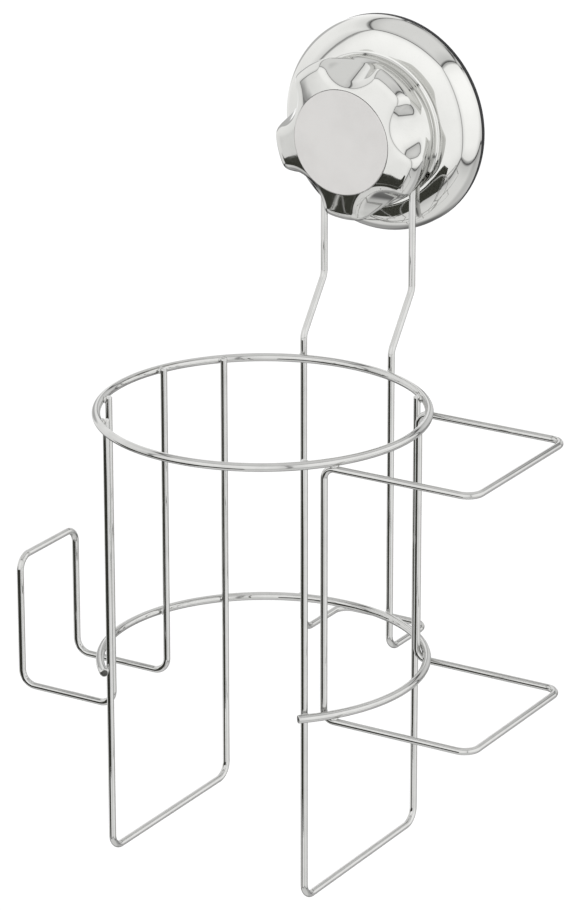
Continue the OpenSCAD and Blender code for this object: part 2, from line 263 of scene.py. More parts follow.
turned_steel, nodes, links, shader = finish("turned_steel")
place = nodes.new("ShaderNodeTexCoord").outputs["Object"]
lathe_place = stretched(nodes, links, place, LATHE_STRETCH)
tool_marks = noise(nodes, links, lathe_place, LATHE_SCALE, LATHE_DETAIL)
links.new(toned(nodes, links, tool_marks, STEEL_TONES), shader.inputs["Base Color"])
links.new(dulled(nodes, links, tool_marks, STEEL_ROUGHNESS), shader.inputs["Roughness"])
shader.inputs["Metallic"].default_value = 1
for part in (screw, screw_plate):
    part.data.materials.append(turned_steel)
    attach(part, "lock_screw")
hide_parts("pull_stud")

# Dish: moulded ABS with bright plating. Its upright rim clamps the pad, and a wide round leads to a
# dome and a collar under the knob. The collar is open at the bottom, where the hanger comes out of
# the groove round the neck. Ribs stiffen the dish inside.
RIM_R = 39.5
RIM_H = 3.4
RIM_EDGE_R = 0.4
RIM_ROUND = 9.0
FACE_R = 27.4
FACE_H = 13.2
DISH_WALL = 2.2
COLLAR_IN_R = 24.4
COLLAR_TOP = 15.9
COLLAR_EDGE_R = 0.5
COLLAR_OPEN = 62.65
COLLAR_END = 3.0
COVE_R = 1.2
COVE_TURN = 85.0
COVE_CLEAR = 0.1
DISH_AROUND = 400
NECK_R = 10.0
NECK_TOP = 16.3
NECK_EDGE_R = 0.4
GUIDE_R = 5.3
RIB_COUNT = 8
RIB_T = 1.6
RIB_IN_R = 16.5
RIB_INSET = 1.0
RIB_SINK = 1.3
RIB_FROM = 15.0
HAZE_DETAIL = 6
HAZE_BREAKUP = 0.6
HAZE_SPAN = (0.42, 0.78)
WAVE_DETAIL = 1

dome_w = RIM_R - RIM_ROUND - FACE_R
round_turn = 90 - 2 * math.degrees(math.atan((FACE_H - RIM_H - RIM_ROUND) / dome_w))
dome_r = RIM_ROUND + dome_w / math.cos(math.radians(round_turn))
round_centre = (RIM_R - RIM_ROUND, RIM_H)
dome_centre = (FACE_R, FACE_H - dome_r)
dome = arc(dome_centre, dome_r, round_turn, 90, 36)
open_r, open_h = zip(*reversed(dome + [(NECK_R, FACE_H)]))
cove_foot_r = FACE_R + COVE_R * (1 - math.cos(math.radians(COVE_TURN)))
cove_foot_h = np.interp(cove_foot_r, open_r, open_h)
cove_centre = (FACE_R + COVE_R, cove_foot_h + COVE_R * math.sin(math.radians(COVE_TURN)))
dish_outline = arc((RIM_R - RIM_EDGE_R, PAD_LIP + RIM_EDGE_R), RIM_EDGE_R, -90, 0, 5)
dish_outline += arc(round_centre, RIM_ROUND, 0, round_turn, 36)
dish_outline += [p for p in dome[1:] if p[0] > cove_foot_r + COVE_CLEAR]
dish_outline += arc(cove_centre, COVE_R, 180 + COVE_TURN, 180, 12)
dish_outline += arc((FACE_R - COLLAR_EDGE_R, COLLAR_TOP - COLLAR_EDGE_R), COLLAR_EDGE_R, 0, 90, 6)
dish_outline += arc(
    (COLLAR_IN_R + COLLAR_EDGE_R, COLLAR_TOP - COLLAR_EDGE_R), COLLAR_EDGE_R, 90, 180, 6
)
dish_outline += [(COLLAR_IN_R, FACE_H), (NECK_R, FACE_H)]
dish_outline += arc((NECK_R - NECK_EDGE_R, NECK_TOP - NECK_EDGE_R), NECK_EDGE_R, 0, 90, 4)
roof = FACE_H - DISH_WALL
dish_outline += [(GUIDE_R, NECK_TOP), (GUIDE_R, roof)]
dish_outline += arc(dome_centre, dome_r - DISH_WALL, 90, round_turn, 12)
dish_outline += arc(round_centre, RIM_ROUND - DISH_WALL, round_turn, 0, 12)[1:]
dish_outline.append((RIM_R - DISH_WALL, PAD_LIP))
dish_turns = np.linspace(0, 2 * math.pi, DISH_AROUND, endpoint=False)
from_below = np.degrees(np.abs((dish_turns + 1.5 * math.pi) % (2 * math.pi) - math.pi))
collar_share = np.clip((from_below - COLLAR_OPEN) / COLLAR_END, 0, 1)
collar_share = collar_share * collar_share * (3 - 2 * collar_share)
dish_rings = []
for r, h in held(dish_outline, looped=True):
    above_open = max(0.0, h - np.interp(r, open_r, open_h)) if r >= COLLAR_IN_R else 0.0
    dish_rings.append(ring_at(r, dish_turns, h - above_open * (1 - collar_share)))
dish = skin("plated_dish", dish_rings, looped=True)


def plating_marks():
    """Node group: faint hazy patches, fine specks and the slow waviness of a plated surface."""
    group = bpy.data.node_groups.new("plating_marks", "ShaderNodeTree")
    wanted = (
        ("Place", "INPUT", "NodeSocketVector"),
        ("Haze Scale", "INPUT", "NodeSocketFloat"),
        ("Wave Scale", "INPUT", "NodeSocketFloat"),
        ("Clear Tone", "INPUT", "NodeSocketColor"),
        ("Hazy Tone", "INPUT", "NodeSocketColor"),
        ("Clear Roughness", "INPUT", "NodeSocketFloat"),
        ("Hazy Roughness", "INPUT", "NodeSocketFloat"),
        ("Tone", "OUTPUT", "NodeSocketColor"),
        ("Roughness", "OUTPUT", "NodeSocketFloat"),
        ("Height", "OUTPUT", "NodeSocketFloat"),
    )
    for name, direction, kind in wanted:
        group.interface.new_socket(name=name, in_out=direction, socket_type=kind)
    inside, wires = group.nodes, group.links
    given = inside.new("NodeGroupInput")
    result = inside.new("NodeGroupOutput")
    haze = inside.new("ShaderNodeTexNoise")
    haze.inputs["Detail"].default_value = HAZE_DETAIL
    haze.inputs["Roughness"].default_value = HAZE_BREAKUP
    wires.new(given.outputs["Place"], haze.inputs["Vector"])
    wires.new(given.outputs["Haze Scale"], haze.inputs["Scale"])
    patch = inside.new("ShaderNodeMapRange")
    patch.inputs["From Min"].default_value = HAZE_SPAN[0]
    patch.inputs["From Max"].default_value = HAZE_SPAN[1]
    wires.new(haze.outputs["Fac"], patch.inputs["Value"])
    tone = inside.new("ShaderNodeMix")
    tone.data_type = "RGBA"
    wires.new(patch.outputs["Result"], tone.inputs["Factor"])
    wires.new(given.outputs["Clear Tone"], tone.inputs[6])
    wires.new(given.outputs["Hazy Tone"], tone.inputs[7])
    wires.new(tone.outputs[2], result.inputs["Tone"])
    gloss = inside.new("ShaderNodeMapRange")
    wires.new(patch.outputs["Result"], gloss.inputs["Value"])
    wires.new(given.outputs["Clear Roughness"], gloss.inputs["To Min"])
    wires.new(given.outputs["Hazy Roughness"], gloss.inputs["To Max"])
    wires.new(gloss.outputs["Result"], result.inputs["Roughness"])
    wave = inside.new("ShaderNodeTexNoise")
    wave.inputs["Detail"].default_value = WAVE_DETAIL
    wires.new(given.outputs["Place"], wave.inputs["Vector"])
    wires.new(given.outputs["Wave Scale"], wave.inputs["Scale"])
    wires.new(wave.outputs["Fac"], result.inputs["Height"])
    return group


plating = plating_marks()


def plated(name, haze_scale, wave_scale, clear, hazy, roughness, wave_height):
    """Bright plating: a mirror metal whose tone, gloss and waviness come from the shared marks."""
    made, nodes, links, shader = finish(name)
    place = nodes.new("ShaderNodeTexCoord")
    marks = nodes.new("ShaderNodeGroup")
    marks.node_tree = plating
    links.new(place.outputs["Object"], marks.inputs["Place"])
    marks.inputs["Haze Scale"].default_value = haze_scale
    marks.inputs["Wave Scale"].default_value = wave_scale
    marks.inputs["Clear Tone"].default_value = clear + (1,)
    marks.inputs["Hazy Tone"].default_value = hazy + (1,)
    marks.inputs["Clear Roughness"].default_value = roughness[0]
    marks.inputs["Hazy Roughness"].default_value = roughness[1]
    ripple = nodes.new("ShaderNodeBump")
    ripple.inputs["Strength"].default_value = 1
    ripple.inputs["Distance"].default_value = wave_height
    links.new(marks.outputs["Height"], ripple.inputs["Height"])
    links.new(marks.outputs["Tone"], shader.inputs["Base Color"])
    links.new(marks.outputs["Roughness"], shader.inputs["Roughness"])
    links.new(ripple.outputs["Normal"], shader.inputs["Normal"])
    shader.inputs["Metallic"].default_value = 1
    return made


# The slightly lower blue in these tones is painted light: a warm tint of the tent's light put into
# the plating's colour.
dish_plating = plated(
    "dish_plating", haze_scale=55, wave_scale=120, clear=(0.63, 0.63, 0.612),
    hazy=(0.585, 0.585, 0.568), roughness=(0.03, 0.08), wave_height=0.00003,
)
dish.data.materials.append(dish_plating)
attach(dish, "suction_base")
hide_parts("base_dish")


def evaluated(maker, name):
    """The plain mesh object that a modifier tree makes, with its modifier gone."""
    seen = maker.evaluated_get(bpy.context.evaluated_depsgraph_get())
    mesh = bpy.data.meshes.new_from_object(seen)
    mesh.name = name
    maker.modifiers.clear()
    maker.data = mesh
    return maker


def started(name, inputs):
    """A new tree of Geometry Nodes with its named inputs, and its nodes, links and input node."""
    tree = bpy.data.node_groups.new(name, "GeometryNodeTree")
    for label, kind in (("Geometry", "Geometry"), *inputs, ("Material", "Material")):
        tree.interface.new_socket(name=label, in_out="INPUT", socket_type="NodeSocket" + kind)
    tree.interface.new_socket(name="Geometry", in_out="OUTPUT", socket_type="NodeSocketGeometry")
    return tree, tree.nodes, tree.links, tree.nodes.new("NodeGroupInput")


def ended(inside, wires, given, shape):
    """The end of a tree: its shape is made real, takes its material and goes out."""
    result = inside.new("NodeGroupOutput")
    real = inside.new("GeometryNodeRealizeInstances")
    wires.new(shape, real.inputs["Geometry"])
    painted = inside.new("GeometryNodeSetMaterial")
    wires.new(real.outputs["Geometry"], painted.inputs["Geometry"])
    wires.new(given.outputs["Material"], painted.inputs["Material"])
    wires.new(painted.outputs["Geometry"], result.inputs["Geometry"])


def rib_tree():
    """Geometry nodes: a plate on each point of a circle, turned to face outwards."""
    tree, inside, wires, given = started("dish_ribs", (("Count", "Int"), ("Ring Radius", "Float")))
    circle = inside.new("GeometryNodeMeshCircle")
    wires.new(given.outputs["Count"], circle.inputs["Vertices"])
    wires.new(given.outputs["Ring Radius"], circle.inputs["Radius"])
    outward = inside.new("FunctionNodeAlignRotationToVector")
    outward.axis = "X"
    where = inside.new("GeometryNodeInputPosition")
    wires.new(where.outputs["Position"], outward.inputs["Vector"])
    copies = inside.new("GeometryNodeInstanceOnPoints")
    wires.new(circle.outputs["Mesh"], copies.inputs["Points"])
    wires.new(given.outputs["Geometry"], copies.inputs["Instance"])
    wires.new(outward.outputs["Rotation"], copies.inputs["Rotation"])
    stood = inside.new("GeometryNodeTransform")
    stood.inputs["Rotation"].default_value = (math.pi / 2, 0, 0)
    wires.new(copies.outputs["Instances"], stood.inputs["Geometry"])
    ended(inside, wires, given, stood.outputs["Geometry"])
    return tree


def grown(name, mesh, tree, values):
    """An object whose modifier tree has its inputs set by their sockets' identifiers."""
    maker = bpy.data.objects.new(name, mesh)
    bpy.context.scene.collection.objects.link(maker)
    modifier = maker.modifiers.new(name, "NODES")
    modifier.node_group = tree
    for socket in tree.interface.items_tree:
        if socket.in_out == "INPUT" and socket.name in values:
            modifier[socket.identifier] = values[socket.name]
    return evaluated(maker, name)


rib_middle = (RIB_IN_R + FACE_R) / 2
rib_side = [(RIB_IN_R, roof - RIB_INSET), (round_centre[0], RIM_H + RIB_INSET)]
rib_side += arc(round_centre, RIM_ROUND - RIB_SINK, RIB_FROM, round_turn, 8)
rib_side += arc(dome_centre, dome_r - RIB_SINK, round_turn, 90, 6)[1:]
rib_side.append((RIB_IN_R, FACE_H - RIB_SINK))
rib_points = [
    ((r - rib_middle) * MM, side * RIB_T / 2 * MM, h * MM) for side in (-1, 1) for r, h in rib_side
]
rib_edge = len(rib_side)
rib_faces = [tuple(range(rib_edge)), tuple(range(2 * rib_edge - 1, rib_edge - 1, -1))]
rib_faces += [
    (i, i + rib_edge, (i + 1) % rib_edge + rib_edge, (i + 1) % rib_edge) for i in range(rib_edge)
]
rib_mesh = bpy.data.meshes.new("rib")
rib_mesh.from_pydata(rib_points, [], rib_faces)
ribs = grown(
    "dish_ribs", rib_mesh, rib_tree(),
    {"Count": RIB_COUNT, "Ring Radius": rib_middle * MM, "Material": dish_plating},
)
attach(ribs, "suction_base")

# Thrust washer: a thin ring stamped from natural nylon that lies on the neck, under the knob.
# It keeps the plating of the two from rubbing while the knob is screwed tight.
NYLON_TONES = ((0.66, 0.65, 0.58), (0.80, 0.79, 0.73))
NYLON_ROUGHNESS = 0.48
NYLON_MOTTLE_SCALE = 350
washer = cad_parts["thrust_washer"]
nylon, nodes, links, shader = finish("natural_nylon")
place = nodes.new("ShaderNodeTexCoord").outputs["Object"]
mottle = noise(nodes, links, place, NYLON_MOTTLE_SCALE)
links.new(toned(nodes, links, mottle, NYLON_TONES), shader.inputs["Base Color"])
shader.inputs["Roughness"].default_value = NYLON_ROUGHNESS
washer.data.materials.clear()
washer.data.materials.append(nylon)

# Knob: moulded ABS with bright plating, a round flange at the back and five finger lobes in front.
# Broad scallops between the lobes run out into the flange. A hexagon pocket inside holds the nut.
KNOB_BACK = 16.3
KNOB_FRONT = 34.2
KNOB_SEAT = 17.2
FLANGE_R = 27.2
FLANGE_T = 2.4
FLANGE_EDGE_R = 0.5
LOBE_R = 29.8
LOBE_TIP = 27.2
LOBE_COUNT = 5
FIRST_LOBE = 267.0
FRONT_TILT = 12.0
NOSE_R = 3.5
SCALLOP_R = 14.5
VALLEY_R = 20.7
LOBE_SOFT = 2.5
FLANGE_SOFT = 2.0
CAP_SEAT_R = 19.25
CAP_SEAT = 32.1
NUT_POCKET_R = 9.4
NUT_SEAT = 19.2
PLUG_R = 10.94
PLUG_SEAT = 29.0
SEAT_LEAD = ((0.1, 0.0), (0.05, 0.08), (0.0, 0.25))
KNOB_AROUND = 480
KNOB_STEPS = 150
KNOB_HEART = (15.0, 23.0)
KNOB_REACH = 25.0
KNOB_HALVINGS = 40


def blunt_max(a, b, soft):
    """The larger of two values, with a smooth bend of the given width where they cross."""
    share = np.clip(0.5 + 0.5 * (a - b) / soft, 0, 1)
    return b + (a - b) * share + soft * share * (1 - share)


def rounded_off(across, above, radius):
    """How far a point lies outside a rounded corner, from its place along both sides of it."""
    past = np.hypot(np.clip(across, 0, None), np.clip(above, 0, None))
    return past + np.minimum(np.maximum(across, above), 0) - radius


def knob_depth(r, turn, h):
    """How far a point lies outside the knob, in mm; below zero it lies inside."""
    cone_h = LOBE_TIP - KNOB_BACK - FLANGE_T
    side_r = FLANGE_R + (LOBE_R - FLANGE_R) * np.clip((h - KNOB_BACK - FLANGE_T) / cone_h, 0, 1)
    tilt = math.radians(FRONT_TILT)
    across = r - side_r + NOSE_R
    above = (h - KNOB_FRONT) * math.cos(tilt) + (r - CAP_SEAT_R) * math.sin(tilt) + NOSE_R
    nose = rounded_off(across, above, NOSE_R)
    pitch = 2 * math.pi / LOBE_COUNT
    valley = (turn - math.radians(FIRST_LOBE)) % pitch - pitch / 2
    flare = (FLANGE_R - VALLEY_R) / (KNOB_FRONT - KNOB_BACK - FLANGE_T)
    reach = np.hypot(r * np.cos(valley) - VALLEY_R - SCALLOP_R, r * np.sin(valley))
    scallop = (SCALLOP_R + flare * (h - KNOB_FRONT) - reach) / math.hypot(1, flare)
    lobes = np.maximum(blunt_max(nose, scallop, LOBE_SOFT), KNOB_BACK - h)
    outside = r - FLANGE_R + FLANGE_EDGE_R
    beyond = np.abs(h - KNOB_BACK - FLANGE_T / 2) - FLANGE_T / 2 + FLANGE_EDGE_R
    flange = rounded_off(outside, beyond, FLANGE_EDGE_R)
    return -blunt_max(-lobes, -flange, FLANGE_SOFT)


knob_turns = np.linspace(0, 2 * math.pi, KNOB_AROUND, endpoint=False)
front_edge_r = CAP_SEAT_R + SEAT_LEAD[0][0]
front_look = math.atan2(KNOB_FRONT - KNOB_HEART[1], front_edge_r - KNOB_HEART[0])
knob_rings = []
for look in np.linspace(-math.pi / 2, front_look, KNOB_STEPS):
    near = np.zeros(KNOB_AROUND)
    far = np.full(KNOB_AROUND, KNOB_REACH)
    for _ in range(KNOB_HALVINGS):
        middle = (near + far) / 2
        middle_r = KNOB_HEART[0] + middle * math.cos(look)
        middle_h = KNOB_HEART[1] + middle * math.sin(look)
        inside = knob_depth(middle_r, knob_turns, middle_h) < 0
        near = np.where(inside, middle, near)
        far = np.where(inside, far, middle)
    radius = KNOB_HEART[0] + near * math.cos(look)
    height = KNOB_HEART[1] + near * math.sin(look)
    knob_rings.append(ring_at(radius, knob_turns, height))
knob_bore = [(CAP_SEAT_R + out, KNOB_FRONT - down) for out, down in SEAT_LEAD[1:]]
knob_bore += [
    (CAP_SEAT_R, CAP_SEAT),
    (PLUG_R, CAP_SEAT),
    (PLUG_R, PLUG_SEAT),
    (NUT_POCKET_R, PLUG_SEAT),
    (NUT_POCKET_R, NUT_SEAT),
    (STUD_HOLE_R, NUT_SEAT),
    (STUD_HOLE_R, KNOB_SEAT),
    (NECK_R, KNOB_SEAT),
    (NECK_R, KNOB_BACK),
]
knob_rings += [ring_at(r, knob_turns, h) for r, h in held(knob_bore, looped=False)]
knob = skin("lobed_knob", knob_rings, looped=True, sharp=40)
# The slightly lower blue in these tones is painted light: a warm tint of the tent's light put into
# the plating's colour.
knob_plating = plated(
    "knob_plating", haze_scale=90, wave_scale=140, clear=(0.59, 0.59, 0.573),
    hazy=(0.545, 0.545, 0.528), roughness=(0.03, 0.09), wave_height=0.00003,
)
knob.data.materials.append(knob_plating)
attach(knob, "knob")
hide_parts("knob_body")

# Nut: a brass hexagon, cut from bar and pressed into the knob, that runs on the lock screw.
# Turning the knob draws the screw through it.
BRASS_TONES = ((0.52, 0.36, 0.13), (0.74, 0.56, 0.25))
BRASS_ROUGHNESS = 0.3
BAR_STRETCH = (1, 30, 1)
BAR_SCALE = 260
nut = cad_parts["knob_nut"]
nut_brass, nodes, links, shader = finish("turned_brass")
place = nodes.new("ShaderNodeTexCoord").outputs["Object"]
bar_marks = noise(nodes, links, stretched(nodes, links, place, BAR_STRETCH), BAR_SCALE)
links.new(toned(nodes, links, bar_marks, BRASS_TONES), shader.inputs["Base Color"])
shader.inputs["Metallic"].default_value = 1
shader.inputs["Roughness"].default_value = BRASS_ROUGHNESS
nut.data.materials.clear()
nut.data.materials.append(nut_brass)

# Cap: a plain plated disc with a rounded edge that snaps into the knob's front by its plug ring.
# It stands a little proud of the lobes and hides the nut and the end of the screw.
CAP_R = 19.2
CAP_TOP = 34.5
CAP_EDGE_R = 0.3
CAP_PLUG_R = 10.84
CAP_PLUG_WALL = 1.4
CAP_PLUG_DEPTH = 3.0
cap_outline = [(0.0, CAP_TOP)]
cap_outline += arc((CAP_R - CAP_EDGE_R, CAP_TOP - CAP_EDGE_R), CAP_EDGE_R, 90, 0, 8)
cap_outline += [
    (CAP_R, CAP_SEAT),
    (CAP_PLUG_R, CAP_SEAT),
    (CAP_PLUG_R, CAP_SEAT - CAP_PLUG_DEPTH),
    (CAP_PLUG_R - CAP_PLUG_WALL, CAP_SEAT - CAP_PLUG_DEPTH),
    (CAP_PLUG_R - CAP_PLUG_WALL, CAP_SEAT),
    (0.0, CAP_SEAT),
]
cap = turned("knob_front_cap", cap_outline)
# The slightly lower blue in these tones is painted light: a warm tint of the tent's light put into
# the plating's colour.
cap_plating = plated(
    "cap_plating", haze_scale=70, wave_scale=90, clear=(0.54, 0.53, 0.52),
    hazy=(0.51, 0.50, 0.49), roughness=(0.13, 0.18), wave_height=0.00001,
)
cap.data.materials.append(cap_plating)
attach(cap, "knob")
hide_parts("knob_cap")

# Hanger: one closed steel wire, bent round the neck, out to the shoulders, down, forward to the
# cage and back to a rest on the wall. The whole cage is welded from wire and chromed in one bath.
WIRE_D = 2.5
BEND_R = 5.5
BEND_STEPS = 14
WIRE_ROUND = 32
END_BLUNT = 0.25
END_HOLD = 0.6
END_GIRTH = 0.82
WIRE_SHARP = 45
HANGER_X = 18.35
EYE_X = 11.33
EYE_END_Z = -7.64
SHOULDER_Z = -17.0
KINK_TOP_Z = -56.976
KINK_LOW_Z = -76.2
REST_Z = -191.5
HANGER_BACK_Y = -14.75
HANGER_FRONT_Y = -29.168


def bent_wire_tree():
    """Geometry nodes: a path of straight lines gets its bends, then a round wire along it."""
    tree, inside, wires, given = started(
        "bent_wire", (("Wire Radius", "Float"), ("Bend Steps", "Int"), ("Round Steps", "Int"))
    )
    path = inside.new("GeometryNodeMeshToCurve")
    wires.new(given.outputs["Geometry"], path.inputs["Mesh"])
    bend = inside.new("GeometryNodeInputNamedAttribute")
    bend.data_type = "FLOAT"
    bend.inputs["Name"].default_value = "bend"
    rounded = inside.new("GeometryNodeFilletCurve")
    rounded.mode = "POLY"
    rounded.inputs["Limit Radius"].default_value = True
    wires.new(path.outputs["Curve"], rounded.inputs["Curve"])
    wires.new(bend.outputs["Attribute"], rounded.inputs["Radius"])
    wires.new(given.outputs["Bend Steps"], rounded.inputs["Count"])
    section = inside.new("GeometryNodeCurvePrimitiveCircle")
    wires.new(given.outputs["Wire Radius"], section.inputs["Radius"])
    wires.new(given.outputs["Round Steps"], section.inputs["Resolution"])
    girth = inside.new("GeometryNodeInputNamedAttribute")
    girth.data_type = "FLOAT"
    girth.inputs["Name"].default_value = "girth"
    drawn = inside.new("GeometryNodeCurveToMesh")
    drawn.inputs["Fill Caps"].default_value = True
    wires.new(rounded.outputs["Curve"], drawn.inputs["Curve"])
    wires.new(section.outputs["Curve"], drawn.inputs["Profile Curve"])
    wires.new(girth.outputs["Attribute"], drawn.inputs["Scale"])
    ended(inside, wires, given, drawn.outputs["Mesh"])
    return tree


wire_tree = bent_wire_tree()
# The slightly lower blue in these tones is painted light: a warm tint of the tent's light put into
# the chrome's colour.
wire_chrome = plated(
    "wire_chrome", haze_scale=160, wave_scale=300, clear=(0.53, 0.53, 0.52),
    hazy=(0.48, 0.48, 0.47), roughness=(0.02, 0.07), wave_height=0.000004,
)


def bent_wire(name, corners, wire_d, looped):
    """A chromed wire through corners of (x, y, z, bend radius) in mm that rides on the cage."""
    path = [tuple(c) + (1.0,) for c in corners]
    if not looped:
        for at, towards in ((0, 1), (-1, -2)):
            end = np.array(path[at][:3])
            along = np.array(path[towards][:3]) - end
            along /= np.linalg.norm(along)
            path[at] = path[at][:4] + (END_GIRTH,)
            for inwards in (END_HOLD, END_BLUNT):
                inner = tuple(end + along * inwards) + (0.0, 1.0)
                path.insert(1 if at == 0 else len(path) - 1, inner)
    mesh = bpy.data.meshes.new(name)
    edges = [(i, i + 1) for i in range(len(path) - 1)]
    if looped:
        edges.append((len(path) - 1, 0))
    mesh.from_pydata([tuple(v * MM for v in p[:3]) for p in path], edges, [])
    bend = mesh.attributes.new("bend", "FLOAT", "POINT")
    bend.data.foreach_set("value", [p[3] * MM for p in path])
    girth = mesh.attributes.new("girth", "FLOAT", "POINT")
    girth.data.foreach_set("value", [p[4] for p in path])
    wire = grown(
        name, mesh, wire_tree,
        {"Wire Radius": wire_d / 2 * MM, "Bend Steps": BEND_STEPS, "Round Steps": WIRE_ROUND,
         "Material": wire_chrome},
    )
    shell = bmesh.new()
    shell.from_mesh(wire.data)
    bmesh.ops.recalc_face_normals(shell, faces=shell.faces)
    shell.to_mesh(wire.data)
    shell.free()
    wire.data.shade_smooth()
    wire.data.set_sharp_from_angle(angle=math.radians(WIRE_SHARP))
    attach(wire, "wire_cage")
    return wire


def mirrored(corners):
    """The corners of the other side of a wire, in the order that carries on round it."""
    return [(-x, y, z, bend) for x, y, z, bend in reversed(corners)]


hanger_side = [
    (EYE_X, HANGER_BACK_Y, EYE_X, EYE_X),
    (EYE_X, HANGER_BACK_Y, EYE_END_Z, BEND_R),
    (HANGER_X, HANGER_BACK_Y, SHOULDER_Z, BEND_R),
    (HANGER_X, HANGER_BACK_Y, KINK_TOP_Z, BEND_R),
    (HANGER_X, HANGER_FRONT_Y, KINK_LOW_Z, BEND_R),
    (HANGER_X, HANGER_FRONT_Y, REST_Z, BEND_R),
    (HANGER_X, -WIRE_D / 2, REST_Z, BEND_R),
]
hanger = bent_wire("hanger", hanger_side + mirrored(hanger_side), WIRE_D, looped=True)
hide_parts("hanger_wire")

# Rings: hoops of thicker wire that carry the dryer. The top one is butt-welded into a full ring.
# The lower one is open in front. Its two sheared ends reach just past the front legs; their end
# faces are rough and coloured near black.
RING_WIRE_D = 3.0
RING_R = 58.5
RING_Y = -87.5
TOP_Z = -84.4
LOW_Z = -177.7
RING_STEPS = 200
LEG_TURN = 43.82
LOW_OVERRUN = 3.0
NEAR_BLACK_END_TONES = ((0.03, 0.03, 0.03), (0.15, 0.15, 0.14))
SHEARED_ROUGHNESS = 0.5
SHEARED_SCALE = 1800


def hoop(z, start, end, looped):
    """Corners of a hoop from one angle to another, fine enough to need no bends."""
    turns = np.radians(np.linspace(start, end, RING_STEPS, endpoint=not looped))
    return [(RING_R * math.cos(t), RING_Y + RING_R * math.sin(t), z, 0.0) for t in turns]


low_reach = LEG_TURN + math.degrees(LOW_OVERRUN / RING_R)
upper_hoop = bent_wire("top_hoop", hoop(TOP_Z, 0, 360, True), RING_WIRE_D, looped=True)
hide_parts("top_ring")
lower_hoop = bent_wire(
    "lower_hoop", hoop(LOW_Z, -low_reach, 180 + low_reach, False), RING_WIRE_D, looped=False
)
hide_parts("lower_ring")
# The cap faces at both ends of the lower hoop are given a rough, near-black metal colour.
sheared_end, nodes, links, shader = finish("sheared_end")
place = nodes.new("ShaderNodeTexCoord").outputs["Object"]
tears = noise(nodes, links, place, SHEARED_SCALE)
links.new(toned(nodes, links, tears, NEAR_BLACK_END_TONES), shader.inputs["Base Color"])
shader.inputs["Metallic"].default_value = 1
shader.inputs["Roughness"].default_value = SHEARED_ROUGHNESS
lower_hoop.data.materials.append(sheared_end)
for face in lower_hoop.data.polygons:
    if len(face.vertices) == WIRE_ROUND:
        face.material_index = 1

# Legs: two U-shaped wires, welded by their cut ends to the inside of both rings.
# Their lower runs keep a dryer's handle from swinging out.
WELD_INSIDE_R = 55.85
LEG_X = WELD_INSIDE_R * math.cos(math.radians(LEG_TURN))
LEG_Y = WELD_INSIDE_R * math.sin(math.radians(LEG_TURN))
LEG_Z = -247.6
END_Z = TOP_Z + 1.0
for side, node in ((-1, "left_leg"), (1, "right_leg")):
    leg = bent_wire(
        node + "_bow",
        [
            (side * LEG_X, RING_Y - LEG_Y, END_Z, 0.0),
            (side * LEG_X, RING_Y - LEG_Y, LEG_Z, BEND_R),
            (side * LEG_X, RING_Y + LEG_Y, LEG_Z, BEND_R),
            (side * LEG_X, RING_Y + LEG_Y, END_Z, 0.0),
        ],
        WIRE_D, looped=False,
    )
    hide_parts(node)

# Cord hook: one wire bent into a double hook, welded inside the rings on the left.
# The dryer's lead is wound over its floor, behind the turned-up tip.
HOOK_Y = 18.0
HOOK_X = -math.sqrt(WELD_INSIDE_R ** 2 - HOOK_Y ** 2)
HOOK_REACH = -92.6
HOOK_FLOOR_Z = -201.6
HOOK_TIP_Z = -152.3
hook_front = [
    (HOOK_X, RING_Y - HOOK_Y, END_Z, 0.0),
    (HOOK_X, RING_Y - HOOK_Y, HOOK_FLOOR_Z, BEND_R),
    (HOOK_REACH, RING_Y - HOOK_Y, HOOK_FLOOR_Z, BEND_R),
    (HOOK_REACH, RING_Y - HOOK_Y, HOOK_TIP_Z, BEND_R),
]
hook_back = [(x, RING_Y + HOOK_Y, z, bend) for x, y, z, bend in reversed(hook_front)]
hook = bent_wire("double_hook", hook_front + hook_back, WIRE_D, looped=False)
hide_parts("cord_hook")

# Side loops: one closed wire bent into an upper and a lower loop, welded under the rings on the
# right. A brush or a styling iron drops through both.
LOOP_Y = 32.605
LOOP_BEND_R = 4.0
LOOP_CROSS_X = math.sqrt(RING_R ** 2 - LOOP_Y ** 2)
LOOP_X = LOOP_CROSS_X - LOOP_BEND_R
LOOP_REACH = 102.9
WELD_DROP = 2.65
loop_front = [
    (LOOP_X, RING_Y - LOOP_Y, LOW_Z - WELD_DROP, LOOP_BEND_R),
    (LOOP_X, RING_Y - LOOP_Y, TOP_Z - WELD_DROP, LOOP_BEND_R),
    (LOOP_REACH, RING_Y - LOOP_Y, TOP_Z - WELD_DROP, BEND_R),
]
loop_back = [(x, 2 * RING_Y - y, z, bend) for x, y, z, bend in reversed(loop_front)]
loop_end = [
    (LOOP_REACH, RING_Y + LOOP_Y, LOW_Z - WELD_DROP, BEND_R),
    (LOOP_REACH, RING_Y - LOOP_Y, LOW_Z - WELD_DROP, BEND_R),
]
loops = bent_wire("double_loop", loop_front + loop_back + loop_end, WIRE_D, looped=True)
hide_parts("side_loops")

# Welds: small beads of melted wire where the legs, hook, loops and hanger meet the rings.
# They are left as they set and chromed over with the rest.
WELD_SIZE = (1.7, 1.5, 0.8)
WELD_ROUND = 20
WELD_HIGH = 12
HANGER_WELD_R = 59.95
INSIDE_WELD_R = 57.05


